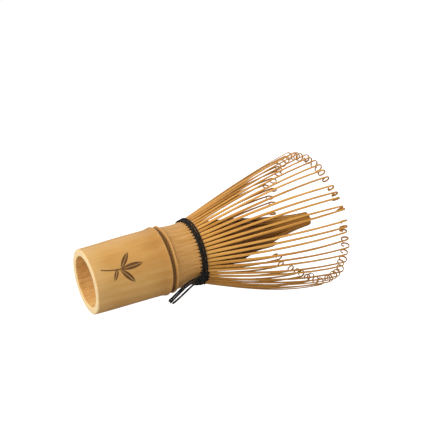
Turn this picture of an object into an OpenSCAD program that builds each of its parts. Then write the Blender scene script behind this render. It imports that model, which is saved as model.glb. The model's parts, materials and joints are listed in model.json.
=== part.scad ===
// Bamboo tea whisk.
// A short length of bamboo culm is the handle. Above its node the wall is
// shaved and split into a flaring ring of outer tines whose tips curl inwards
// and a cone of inner tines gathered towards the middle. One dark thread is
// woven round the roots of the outer tines and knotted, with loose ends.
// Origin: centre of the handle's open end face. +Z: along the culm, from the
// handle to the tines. Lengths in millimetres, angles in degrees about +Z.

/* [Overall] */
// Height from the handle's end face to the top of the tine curls
total_h = 108.8; // [100:0.2:118]

/* [Handle] */
// Outer radius of the culm just above the rounded rim
handle_r = 13.8; // [12.6:0.1:15]
// How much wider the culm is at the node than at its end
handle_flare = 0.5; // [0:0.1:1]
// Radius of the hollow bore
bore_r = 10.7; // [9.6:0.1:11.2]
// Rounding of the rim of the open end
rim_round = 0.7; // [0.3:0.1:1]
// Height of the groove between the node's two ridges
node_z = 33.8; // [31:0.2:36]
// How far the node's ridges stand out
ridge_out = 0.35; // [0.1:0.05:0.6]
// Thickness of the wall that closes the culm at the node
septum_t = 1.8; // [1:0.1:2.6]

/* [Waist] */
// Outer radius of the shaved neck at its narrowest
waist_r = 13.25; // [12.6:0.05:13.6]
// Height at which the splits begin
split_z = 43; // [41:0.2:43.6]
// Width of a split where it leaves the neck
split_w0 = 0.14; // [0.1:0.02:0.2]

/* [Outer tines] */
// Number of first splits, each flexing as one group
groups = 18; // [18:1:18]
// Outer tines in one group
per_group = 3; // [2:1:3]
// Radius of the ring of tines at its widest
ring_r = 30.3; // [27:0.1:33]
// Width of a tine at its root
tine_w_root = 1.3; // [1.0:0.02:1.34]
// Width of a tine at mid height
tine_w_mid = 1.12; // [0.8:0.02:1.24]
// Width of a tine at its tip
tine_w_tip = 0.7; // [0.45:0.01:0.86]
// Thickness of a tine at its root
tine_t_root = 0.56; // [0.4:0.02:0.6]
// Thickness of a tine in its curl
tine_t_tip = 0.36; // [0.24:0.02:0.44]
// Radius of the curl at the tip
curl_r = 1.65; // [1.4:0.05:2.2]
// How far round the curl goes
curl_turn = 300; // [180:2:305]
// How much lower the tines stop on the whisk's worn side
worn = 7; // [0:0.5:8]

/* [Inner tines] */
// Radius of the gathered bundle at its blunt end
bundle_r_end = 3.1; // [2.8:0.1:4]
// Height of the gathered bundle's end
bundle_h = 106.6; // [96:0.2:108]
// Thickness of an inner tine at its root
inner_t_root = 0.62; // [0.4:0.02:0.7]
// Thickness of an inner tine at its end
inner_t_tip = 0.42; // [0.3:0.02:0.6]

/* [Thread] */
// Thickness of the thread
thread_d = 0.76; // [0.6:0.02:0.8]
// Height of the lowest turn of thread
thread_z = 46.6; // [46.4:0.1:46.8]
// Rise from one turn of thread to the next
thread_rise = 0.86; // [0.84:0.01:0.9]

/* [Hidden] */
$fn = 96;
tines = groups * per_group;
pitch = 360 / tines;
node_lo = node_z - 3.2;       // handle tube ends, node begins
node_hi = node_z + 3.2;       // node ends, neck begins
septum_lo = node_z - septum_t / 2 - 0.25;  // bore ends, just below the diaphragm
comb_z = 45.6;                // full wall ends, separate roots begin
comb_top = 49.9;              // roots end, flexing groups begin
root_r = 14.3;                // middle of an outer tine where it starts to flex
root_z = comb_top + 0.15;
curl_z = total_h - curl_r - tine_t_tip / 2;  // centre height of the curls
stub_r = waist_r + 0.35;      // outside of the roots at the lowest thread
inner_r0 = stub_r - 2.15;     // middle of an inner tine at its root
eps = 0.01;

CULM = "#D2A566";
CULM_PALE = "#E2BC80";
TINE = "#D9AC66";
TINE_DARK = "#A67A35";
THREAD = "#141210";

// ---------- shared shapes ----------

// How much lower than the longest ones a tine at angle a stops
function drop(a) = worn * exp(-pow((a - 195) / 38, 2));

// Middle line of an outer tine whose curl is d lower than the highest, as
// [radius, height], u from 0 to 1 up the stem
function stem(u, d) = [
  root_r + (ring_r - 0.1 * d - root_r) * (0.7 * sin(90 * u) + 0.3 * u),
  root_z + (curl_z - d - root_z) * u
];

// Middle line of the curl, v from 0 to 1; it tightens as it turns inwards
function curl(v, d) = let (a = curl_turn * v, q = curl_r * (1 - 0.24 * v)) [
  ring_r - 0.1 * d - curl_r + q * cos(a),
  curl_z - d + q * sin(a)
];

// Middle line of an inner tine: upright at the root, drawn in to the bundle
function gather(u) = [
  bundle_r_end - 0.3 + (inner_r0 - bundle_r_end + 0.3)
    * (1 - pow(u, 1.35)) * (1 - 0.42 * sin(180 * u) * u),
  comb_z + (bundle_h - comb_z) * u
];

// A band along a middle line, half a thickness to either side of it
module band(line, t0, t1) {
  n = len(line) - 1;
  function way(i) = let (a = line[max(i - 1, 0)], b = line[min(i + 1, n)], d = b - a)
    d / norm(d);
  function half(i) = (t0 + (t1 - t0) * i / n) / 2;
  polygon(concat(
    [for (i = [0:n]) line[i] + half(i) * [way(i)[1], -way(i)[0]]],
    [for (i = [n:-1:0]) line[i] - half(i) * [way(i)[1], -way(i)[0]]]
  ));
}

// A flat strip standing in a plane through the axis: its side view is the
// band along "line", its front view is set by widths = [[height, width], ...]
module strip(line, t0, t1, widths) {
  n = len(widths) - 1;
  intersection() {
    rotate([90, 0, 0]) linear_extrude(height = 4, center = true) band(line, t0, t1);
    rotate([90, 0, 90]) linear_extrude(height = 40) polygon(concat(
      [for (i = [0:n]) [widths[i][1] / 2, widths[i][0]]],
      [for (i = [n:-1:0]) [-widths[i][1] / 2, widths[i][0]]]
    ));
  }
}

// Thread laid straight through a list of points given as [radius, angle, height]
module thread_run(pts, d) {
  p = [for (q = pts) [q[0] * cos(q[1]), q[0] * sin(q[1]), q[2]]];
  for (i = [0:len(p) - 1]) translate(p[i]) sphere(d = d * 1.06, $fn = 36);
  for (i = [0:len(p) - 2]) {
    v = p[i + 1] - p[i];
    translate(p[i])
      rotate([0, acos(v[2] / norm(v)), atan2(v[1], v[0])])
        cylinder(d = d, h = norm(v), $fn = 36);
  }
}

module thread_ring(r, z) {
  translate([0, 0, z]) rotate_extrude() translate([r, 0]) circle(d = thread_d, $fn = 40);
}

// ---------- handle ----------

// Outer radius of the culm at height z, below the node
function culm_r(z) = handle_r + handle_flare * z / node_lo;

module handle_tube() {
  color(CULM) rotate_extrude() polygon([
    [bore_r + rim_round * 0.6, 0],
    [handle_r - rim_round, 0],
    [handle_r - rim_round * 0.3, rim_round * 0.25],
    [handle_r, rim_round],
    [culm_r(node_lo), node_lo],
    [bore_r, node_lo],
    [bore_r, rim_round * 0.8]
  ]);
}

module node_ring() {
  r = culm_r(node_lo);
  color(CULM) rotate_extrude() polygon([
    [bore_r, node_lo],
    [r, node_lo],
    [r + 0.05, node_z - 2.2],
    [r + ridge_out * 0.8, node_z - 1.5],
    [r + ridge_out * 0.7, node_z - 1.0],
    [r - 0.28, node_z - 0.35],
    [r - 0.32, node_z + 0.35],
    [r + ridge_out * 0.55, node_z + 1.1],
    [r + ridge_out * 0.45, node_z + 1.5],
    [waist_r + 0.5, node_z + 2.1],
    [waist_r + 0.38, node_hi],
    [bore_r + 0.2, node_hi],
    [bore_r + 0.2, septum_lo],
    [bore_r, septum_lo]
  ]);
}

// The wall across the culm, thin and a little domed towards the tines
module node_diaphragm() {
  color(CULM_PALE) rotate_extrude() polygon([
    [0, septum_lo + 0.75],
    [bore_r * 0.55, septum_lo + 0.6],
    [bore_r + 0.18, septum_lo + 0.27],
    [bore_r + 0.18, septum_lo + 0.25 + septum_t],
    [bore_r * 0.55, septum_lo + 0.7 + septum_t],
    [0, septum_lo + 0.95 + septum_t]
  ]);
}

// ---------- neck with the roots of the outer tines ----------

module root_collar() {
  color(CULM) difference() {
    rotate_extrude() polygon([
      [bore_r + 0.2, node_hi],
      [waist_r + 0.38, node_hi],
      [waist_r + 0.12, 39.4],
      [waist_r, 42],
      [waist_r + 0.1, 44.2],
      [stub_r, 46.3],
      [stub_r + 0.25, 48],
      [root_r + tine_t_root / 2, comb_top],
      [root_r - tine_t_root / 2, comb_top],
      [stub_r + 0.25 - 0.62, 48],
      [stub_r - 0.64, comb_z + 0.5],
      [stub_r - 0.7, comb_z],
      [bore_r + 0.2, comb_z]
    ]);
    for (i = [0:tines - 1]) rotate([0, 0, (i + 0.5) * pitch]) translate([10, 0, 0])
      rotate([90, 0, 90]) linear_extrude(height = 7) polygon([
        [-split_w0 / 2, split_z],
        [split_w0 / 2, split_z],
        [0.2, comb_top + 1],
        [-0.2, comb_top + 1]
      ]);
  }
}

// ---------- outer tines ----------

module outer_tine(a) {
  top = curl_z - drop(a);
  line = concat([for (i = [0:10]) stem(i / 10, drop(a))], [for (i = [1:12]) curl(i / 12, drop(a))]);
  strip(line, tine_t_root, tine_t_tip, [
    [root_z, tine_w_root],
    [root_z + (top - root_z) * 0.28, tine_w_root - 0.02],
    [root_z + (top - root_z) * 0.6, tine_w_mid],
    [top - 2 * curl_r, tine_w_tip + 0.06],
    [total_h + 1, tine_w_tip]
  ]);
}

module outer_tines(g) {
  color(TINE) for (k = [0:per_group - 1]) {
    a = ((g - 1) * per_group + k + 0.5 - per_group / 2) * pitch;
    rotate([0, 0, a]) outer_tine(a);
  }
}

// ---------- inner tines ----------

module inner_tine() {
  line = [for (i = [0:9]) gather(i / 9)];
  strip(line, inner_t_root, inner_t_tip,
    [for (i = [0:9]) [line[i][1] - (i == 0 ? 1 : 0) + (i == 9 ? 1 : 0),
      2 * (line[i][0] - inner_t_root / 2) * tan(pitch / 2) * 0.86]]);
}

module inner_tines(g) {
  color(TINE_DARK) for (k = [0:per_group - 1])
    rotate([0, 0, ((g - 1) * per_group + k + 0.5 - per_group / 2) * pitch]) inner_tine();
}

// ---------- thread ----------

// Outside of the roots at height z, where the thread lies
function lay_r(z) = z < 48 ? stub_r + 0.25 * (z - 46.3) / 1.7
  : stub_r + 0.25 + (root_r + tine_t_root / 2 - stub_r - 0.25) * (z - 48) / (comb_top - 48);

module thread_turn(n) {
  z = thread_z + (n - 1) * thread_rise;
  color(THREAD) thread_ring(lay_r(z) + thread_d / 2 + 0.04, z);
}

// Turns that pass behind the outer tines and hold them off the inner ones
module thread_back_turn(n) {
  z = thread_z + 0.2 + (n - 1) * 1.1;
  color(THREAD) thread_ring(stub_r - 0.72 - thread_d / 2 + 0.1 * n, z);
}

knot_r = lay_r(thread_z) + 2;

// One hitch of the knot at angle a: a lump of thread with two loops round it
module hitch(a) {
  translate([knot_r * cos(a), knot_r * sin(a), thread_z + 0.72]) rotate([0, 0, a]) {
    sphere(r = 0.9, $fn = 64);
    rotate([18, 90, 0]) rotate_extrude($fn = 96) translate([1.1, 0]) circle(d = thread_d, $fn = 40);
    rotate([0, 68, 22]) rotate_extrude($fn = 96) translate([1.05, 0]) circle(d = thread_d, $fn = 40);
  }
}

// Two hitches side by side, a hair apart
module thread_knot() {
  color(THREAD) for (a = [91, 102.4]) hitch(a);
}

tail_paths = [
  [[16.1, 94.6, 45.6], [15.7, 100, 42.5], [15.8, 105.5, 39], [16.4, 106, 36], [17.0, 107, 33.5], [17.6, 108.5, 31.5]],
  [[16.1, 104.6, 45.4], [16.3, 109, 41.5], [16.9, 112.5, 38], [17.6, 113.5, 34.7], [18.4, 112.5, 32.4]],
  [[15.9, 109.8, 47.2], [16.3, 113.2, 45], [16.7, 115, 42.5], [17.5, 116.6, 39.4], [18.3, 118, 37], [19, 117.5, 35]]
];

module thread_tail(n) {
  color(THREAD) thread_run(tail_paths[n - 1], thread_d);
}

// ---------- nodes ----------

handle_tube();
node_ring();
node_diaphragm();
root_collar();
outer_tines(1);  // outer_tines_01
outer_tines(2);  // outer_tines_02
outer_tines(3);  // outer_tines_03
outer_tines(4);  // outer_tines_04
outer_tines(5);  // outer_tines_05
outer_tines(6);  // outer_tines_06
outer_tines(7);  // outer_tines_07
outer_tines(8);  // outer_tines_08
outer_tines(9);  // outer_tines_09
outer_tines(10);  // outer_tines_10
outer_tines(11);  // outer_tines_11
outer_tines(12);  // outer_tines_12
outer_tines(13);  // outer_tines_13
outer_tines(14);  // outer_tines_14
outer_tines(15);  // outer_tines_15
outer_tines(16);  // outer_tines_16
outer_tines(17);  // outer_tines_17
outer_tines(18);  // outer_tines_18
inner_tines(1);  // inner_tines_01
inner_tines(2);  // inner_tines_02
inner_tines(3);  // inner_tines_03
inner_tines(4);  // inner_tines_04
inner_tines(5);  // inner_tines_05
inner_tines(6);  // inner_tines_06
inner_tines(7);  // inner_tines_07
inner_tines(8);  // inner_tines_08
inner_tines(9);  // inner_tines_09
inner_tines(10);  // inner_tines_10
inner_tines(11);  // inner_tines_11
inner_tines(12);  // inner_tines_12
inner_tines(13);  // inner_tines_13
inner_tines(14);  // inner_tines_14
inner_tines(15);  // inner_tines_15
inner_tines(16);  // inner_tines_16
inner_tines(17);  // inner_tines_17
inner_tines(18);  // inner_tines_18
thread_turn(1);  // thread_turn_1
thread_turn(2);  // thread_turn_2
thread_turn(3);  // thread_turn_3
thread_back_turn(1);  // thread_back_turn_1
thread_back_turn(2);  // thread_back_turn_2
thread_knot();
thread_tail(1);  // thread_tail_1
thread_tail(2);  // thread_tail_2
thread_tail(3);  // thread_tail_3
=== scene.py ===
"""Bamboo tea whisk: the looks, on the frame made from part.scad."""
import json
import math

import bpy
import numpy as np
from mathutils import Matrix, Vector

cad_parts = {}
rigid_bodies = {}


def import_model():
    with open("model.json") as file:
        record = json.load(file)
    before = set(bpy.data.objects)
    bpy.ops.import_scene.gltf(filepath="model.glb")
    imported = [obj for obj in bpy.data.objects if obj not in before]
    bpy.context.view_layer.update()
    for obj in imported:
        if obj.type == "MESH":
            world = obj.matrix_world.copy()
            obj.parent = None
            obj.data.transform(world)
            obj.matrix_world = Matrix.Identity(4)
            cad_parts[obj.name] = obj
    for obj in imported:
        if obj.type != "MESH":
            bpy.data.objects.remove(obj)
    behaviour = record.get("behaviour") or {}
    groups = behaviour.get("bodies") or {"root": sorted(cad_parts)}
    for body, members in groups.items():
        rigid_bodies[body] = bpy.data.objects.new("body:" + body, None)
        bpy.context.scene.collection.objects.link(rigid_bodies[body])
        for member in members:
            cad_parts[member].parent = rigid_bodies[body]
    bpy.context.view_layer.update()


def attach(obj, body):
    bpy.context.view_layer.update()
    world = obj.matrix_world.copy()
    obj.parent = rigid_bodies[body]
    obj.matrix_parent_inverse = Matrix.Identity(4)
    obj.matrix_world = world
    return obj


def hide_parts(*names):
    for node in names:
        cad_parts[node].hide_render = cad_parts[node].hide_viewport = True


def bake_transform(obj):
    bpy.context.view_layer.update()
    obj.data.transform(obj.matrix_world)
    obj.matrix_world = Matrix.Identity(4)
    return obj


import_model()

MM = 0.001
TAU = 2 * math.pi
scene = bpy.context.scene

# ------------------------------------------------------------------ sizes, mm
HANDLE_R = 13.8
FLARE = 0.5
BORE_R = 10.7
NODE_Z = 33.8
NODE_LO = NODE_Z - 3.2
NODE_HI = NODE_Z + 3.2
SPLIT_Z = 43.2
COMB_Z = 45.6
COMB_TOP = 49.9
ROOT_R, ROOT_Z = 14.3, 50.05
RING_R = 30.3
TOTAL_H = 108.8
CURL_R = 1.65
CURL_Z = TOTAL_H - CURL_R - 0.15
TINES = 54
GROUPS = 18
PITCH = TAU / TINES
THREAD_D = 0.76
THREAD_Z = 46.6
THREAD_RISE = 0.86


# ------------------------------------------------------------------ small maths
def hermite(xs, ys, x):
    """Smooth curve through (xs, ys), read at x."""
    xs, ys, x = np.asarray(xs, float), np.asarray(ys, float), np.asarray(x, float)
    d = np.diff(ys) / np.diff(xs)
    m = np.empty_like(ys)
    m[0], m[-1] = d[0], d[-1]
    left, right = d[:-1], d[1:]
    same = left * right > 0
    m[1:-1] = np.where(same, 2 * left * right / np.where(same, left + right, 1), 0)
    i = np.clip(np.searchsorted(xs, x) - 1, 0, len(xs) - 2)
    h = xs[i + 1] - xs[i]
    t = np.clip((x - xs[i]) / h, 0, 1)
    return (
        (2 * t**3 - 3 * t**2 + 1) * ys[i]
        + (t**3 - 2 * t**2 + t) * h * m[i]
        + (-2 * t**3 + 3 * t**2) * ys[i + 1]
        + (t**3 - t**2) * h * m[i + 1]
    )


def step(a, b, x):
    t = np.clip((np.asarray(x, float) - a) / (b - a), 0, 1)
    return t * t * (3 - 2 * t)


def unit(v):
    return v / np.maximum(np.linalg.norm(v, axis=-1, keepdims=True), 1e-12)


class Ripple:
    """A sum of waves round the culm and along it, closed all the way round."""

    def __init__(self, seed, n, around, along, power=0.5):
        r = np.random.default_rng(seed)
        self.k = r.integers(around[0], around[1] + 1, n)
        self.w = r.uniform(along[0], along[1], n) * r.choice([-1, 1], n)
        self.p = r.uniform(0, TAU, n)
        a = (self.k / max(around[0], 1)) ** -power
        self.a = a / math.sqrt((a**2).sum() / 2)

    def __call__(self, phi, z):
        out = 0
        for k, w, p, a in zip(self.k, self.w, self.p, self.a):
            out = out + a * np.cos(k * phi + w * z + p)
        return out


# ------------------------------------------------------------------ mesh helpers
def add_mesh(name, verts, faces, material, values=None, flat=()):
    me = bpy.data.meshes.new(name)
    me.from_pydata((np.asarray(verts) * MM).tolist(), [], [tuple(map(int, f)) for f in faces])
    smooth = np.ones(len(me.polygons), bool)
    if len(flat):
        smooth[np.asarray(flat, int)] = False
    me.polygons.foreach_set("use_smooth", smooth)
    for key, val in (values or {}).items():
        a = me.attributes.new(key, "FLOAT", "POINT")
        a.data.foreach_set("value", np.asarray(val, np.float32))
    me.materials.append(material)
    me.update()
    obj = bpy.data.objects.new(name, me)
    scene.collection.objects.link(obj)
    return obj


def ring_faces(n_rows, n_cols, wrap=True, base=0):
    """Quads of a grid of rows, each row a ring of n_cols points."""
    i = np.arange(n_rows - 1)[:, None]
    j = np.arange(n_cols if wrap else n_cols - 1)[None, :]
    a = base + i * n_cols + j
    b = base + i * n_cols + (j + 1) % n_cols
    return np.stack([a, b, b + n_cols, a + n_cols], -1).reshape(-1, 4)


def sweep(P, A, B, section, half_a, half_b, closed=False):
    """Section points placed along P on the axes A and B. Returns verts and faces."""
    n, m = len(P), len(section)
    if section.ndim == 2:
        section = np.broadcast_to(section, (n, m, 2))
    else:
        m = section.shape[1]
    V = (
        P[:, None]
        + A[:, None] * (section[..., 0] * np.reshape(half_a, (-1, 1)))[..., None]
        + B[:, None] * (section[..., 1] * np.reshape(half_b, (-1, 1)))[..., None]
    ).reshape(-1, 3)
    F = ring_faces(n, m).tolist()
    if closed:
        for j in range(m):
            a, b = (n - 1) * m + j, (n - 1) * m + (j + 1) % m
            F.append([a, b, (j + 1) % m, j])
        return V, F, []
    caps = []
    V = np.concatenate([V, V[:m], V[(n - 1) * m : n * m]])
    caps.append(len(F))
    F.append(list(range(n * m + m - 1, n * m - 1, -1)))
    caps.append(len(F))
    F.append(list(range(n * m + m, n * m + 2 * m)))
    return V, F, caps


def transport(P, closed=False):
    """Tangents and a pair of side axes that don't spin along the path P."""
    if closed:
        T = unit(np.roll(P, -1, 0) - np.roll(P, 1, 0))
    else:
        T = unit(np.gradient(P, axis=0))
    A = np.empty_like(P)
    ref = np.array([0.0, 0, 1]) if abs(T[0][2]) < 0.9 else np.array([1.0, 0, 0])
    A[0] = unit(ref - T[0] * (ref @ T[0]))
    for i in range(1, len(P)):
        v = A[i - 1] - T[i] * (A[i - 1] @ T[i])
        A[i] = v / np.linalg.norm(v)
    return T, A, np.cross(T, A)


def smooth_path(points, spacing=0.12):
    """Points joined by a smooth curve, evenly spaced."""
    p = np.asarray(points, float)
    t = np.concatenate([[0], np.cumsum(np.linalg.norm(np.diff(p, axis=0), axis=1))])
    m = np.gradient(p, t, axis=0)
    q = np.linspace(0, t[-1], max(8, int(t[-1] / spacing)))
    i = np.clip(np.searchsorted(t, q) - 1, 0, len(t) - 2)
    h = (t[i + 1] - t[i])[:, None]
    u = ((q - t[i]) / (t[i + 1] - t[i]))[:, None]
    return (
        (2 * u**3 - 3 * u**2 + 1) * p[i]
        + (u**3 - 2 * u**2 + u) * h * m[i]
        + (-2 * u**3 + 3 * u**2) * p[i + 1]
        + (u**3 - u**2) * h * m[i + 1]
    )


def cyl(r, phi, z):
    return np.stack(np.broadcast_arrays(r * np.cos(phi), r * np.sin(phi), z), -1)


class Pile:
    """Several swept strips gathered in one mesh."""

    def __init__(self):
        self.v, self.f, self.flat, self.n, self.vals = [], [], [], 0, {}

    def add(self, V, F, caps, **vals):
        self.flat += [len(self.f) + c for c in caps]
        self.f += [[i + self.n for i in f] for f in F]
        self.v.append(V)
        for k, v in vals.items():
            self.vals.setdefault(k, []).append(np.broadcast_to(np.asarray(v, float), (len(V),)))
        self.n += len(V)

    def build(self, name, material):
        return add_mesh(
            name,
            np.concatenate(self.v),
            self.f,
            material,
            {k: np.concatenate(v) for k, v in self.vals.items()},
            self.flat,
        )


# ------------------------------------------------------------------ materials
class Graph:
    def __init__(self, name):
        self.mat = bpy.data.materials.new(name)
        self.mat.use_nodes = True
        self.nt = self.mat.node_tree
        self.nt.nodes.clear()
        self.out = self.nt.nodes.new("ShaderNodeOutputMaterial")
        self.bsdf = self.nt.nodes.new("ShaderNodeBsdfPrincipled")
        self.nt.links.new(self.bsdf.outputs[0], self.out.inputs[0])

    def node(self, kind, **props):
        n = self.nt.nodes.new(kind)
        for k, v in props.items():
            setattr(n, k, v)
        return n

    def put(self, socket, value):
        if isinstance(value, bpy.types.NodeSocket):
            self.nt.links.new(value, socket)
        else:
            socket.default_value = value

    def math(self, op, a, b=0.0, c=0.0, clamp=False):
        n = self.node("ShaderNodeMath", operation=op, use_clamp=clamp)
        self.put(n.inputs[0], a)
        self.put(n.inputs[1], b)
        if op in ("MULTIPLY_ADD", "SMOOTH_MIN", "SMOOTH_MAX", "COMPARE"):
            self.put(n.inputs[2], c)
        return n.outputs[0]

    def attr(self, name):
        return self.node("ShaderNodeAttribute", attribute_name=name).outputs["Fac"]

    def where(self):
        n = self.node("ShaderNodeTexCoord")
        s = self.node("ShaderNodeSeparateXYZ")
        self.nt.links.new(n.outputs["Object"], s.inputs[0])
        return n.outputs["Object"], s.outputs

    def vector(self, x, y, z):
        n = self.node("ShaderNodeCombineXYZ")
        for i, v in enumerate((x, y, z)):
            self.put(n.inputs[i], v)
        return n.outputs[0]

    def scaled(self, vec, sx, sy, sz):
        n = self.node("ShaderNodeVectorMath", operation="MULTIPLY")
        self.put(n.inputs[0], vec)
        n.inputs[1].default_value = (sx, sy, sz)
        return n.outputs[0]

    def noise(self, vec, scale=1.0, detail=3.0, rough=0.55, distort=0.0):
        n = self.node("ShaderNodeTexNoise")
        self.put(n.inputs["Vector"], vec)
        n.inputs["Scale"].default_value = scale
        n.inputs["Detail"].default_value = detail
        n.inputs["Roughness"].default_value = rough
        n.inputs["Distortion"].default_value = distort
        return n.outputs["Fac"]

    def voronoi(self, vec, scale=1.0, feature="F1", randomness=1.0):
        n = self.node("ShaderNodeTexVoronoi", feature=feature)
        self.put(n.inputs["Vector"], vec)
        n.inputs["Scale"].default_value = scale
        n.inputs["Randomness"].default_value = randomness
        return n.outputs["Distance"]

    def ramp(self, fac, stops, mode="EASE"):
        n = self.node("ShaderNodeValToRGB")
        n.color_ramp.interpolation = mode
        e = n.color_ramp.elements
        while len(e) < len(stops):
            e.new(0.5)
        for el, (pos, col) in zip(e, stops):
            el.position = pos
            el.color = (*col, 1) if len(col) == 3 else col
        self.put(n.inputs[0], fac)
        return n.outputs[0]

    def fade(self, x, lo, hi, a=0.0, b=1.0):
        n = self.node("ShaderNodeMapRange", clamp=True, interpolation_type="SMOOTHSTEP")
        self.put(n.inputs[0], x)
        n.inputs[1].default_value, n.inputs[2].default_value = lo, hi
        n.inputs[3].default_value, n.inputs[4].default_value = a, b
        return n.outputs[0]

    def mix(self, fac, a, b, mode="MIX"):
        n = self.node("ShaderNodeMix", data_type="RGBA", blend_type=mode)
        self.put(n.inputs[0], fac)
        for s, v in ((n.inputs[6], a), (n.inputs[7], b)):
            if isinstance(v, tuple) and len(v) == 3:
                v = (*v, 1)
            self.put(s, v)
        return n.outputs[2]

    def bump(self, height, strength, distance, normal=None):
        n = self.node("ShaderNodeBump")
        n.inputs["Strength"].default_value = strength
        n.inputs["Distance"].default_value = distance
        self.put(n.inputs["Height"], height)
        if normal is not None:
            self.put(n.inputs["Normal"], normal)
        return n.outputs[0]

    def set(self, **kw):
        for k, v in kw.items():
            if isinstance(v, tuple) and len(v) == 3 and "Color" in k:
                v = (*v, 1)
            self.put(self.bsdf.inputs[k.replace("_", " ")], v)
        return self.mat


def srgb(h):
    """A colour such as D9A560, as linear values."""
    c = [int(h[i : i + 2], 16) / 255 for i in (0, 2, 4)]
    return tuple(x / 12.92 if x <= 0.04045 else ((x + 0.055) / 1.055) ** 2.4 for x in c)


def leaf_mark(g, phi, z):
    """A burnt-in sprig of four slender leaves. phi in radians, z in metres; 1 inside, 0 outside."""
    total = None
    size = 1.4
    u0 = g.math("MULTIPLY", g.math("SUBTRACT", phi, math.radians(33)), 13.95 * MM / size)
    v0 = g.math("MULTIPLY", g.math("SUBTRACT", z, 12.4 * MM), 1 / size)
    # each leaf: centre across, centre along, direction, length, width in mm
    leaves = (
        (0.0, 2.9, 92, 7.0, 1.75),
        (2.35, 1.0, 38, 6.2, 1.6),
        (-2.2, 1.3, 140, 5.8, 1.5),
        (1.2, -2.3, -28, 4.0, 1.15),
    )
    for cx, cy, ang, length, width in leaves:
        c, s = math.cos(math.radians(ang)), math.sin(math.radians(ang))
        x = g.math("SUBTRACT", u0, cx * MM)
        y = g.math("SUBTRACT", v0, cy * MM)
        a = g.math("ADD", g.math("MULTIPLY", x, c), g.math("MULTIPLY", y, s))
        b = g.math("ADD", g.math("MULTIPLY", x, -s), g.math("MULTIPLY", y, c))
        # two circles crossing give the leaf's outline
        h, w = length / 2 * MM, width / 2 * MM
        big = (h * h + w * w) / (2 * w)
        off = big - w
        d1 = g.math("SQRT", g.math("ADD", g.math("POWER", a, 2.0), g.math("POWER", g.math("ADD", b, off), 2.0)))
        d2 = g.math("SQRT", g.math("ADD", g.math("POWER", a, 2.0), g.math("POWER", g.math("SUBTRACT", b, off), 2.0)))
        d = g.math("SUBTRACT", g.math("MAXIMUM", d1, d2), big)
        # a pale midrib down each leaf
        rib = g.math("SUBTRACT", 0.085 * MM, g.math("ABSOLUTE", b))
        d = g.math("MAXIMUM", d, rib)
        total = d if total is None else g.math("MINIMUM", total, d)
    # the stem
    x = g.math("ABSOLUTE", g.math("SUBTRACT", u0, g.math("MULTIPLY", g.math("POWER", v0, 2.0), -30.0)))
    stem = g.math("MAXIMUM", g.math("SUBTRACT", x, 0.17 * MM), g.math("SUBTRACT", g.math("ABSOLUTE", g.math("ADD", v0, 2.9 * MM)), 3.4 * MM))
    total = g.math("MINIMUM", total, stem)
    return g.fade(total, -0.05 * MM, 0.07 * MM, 1.0, 0.0)


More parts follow.
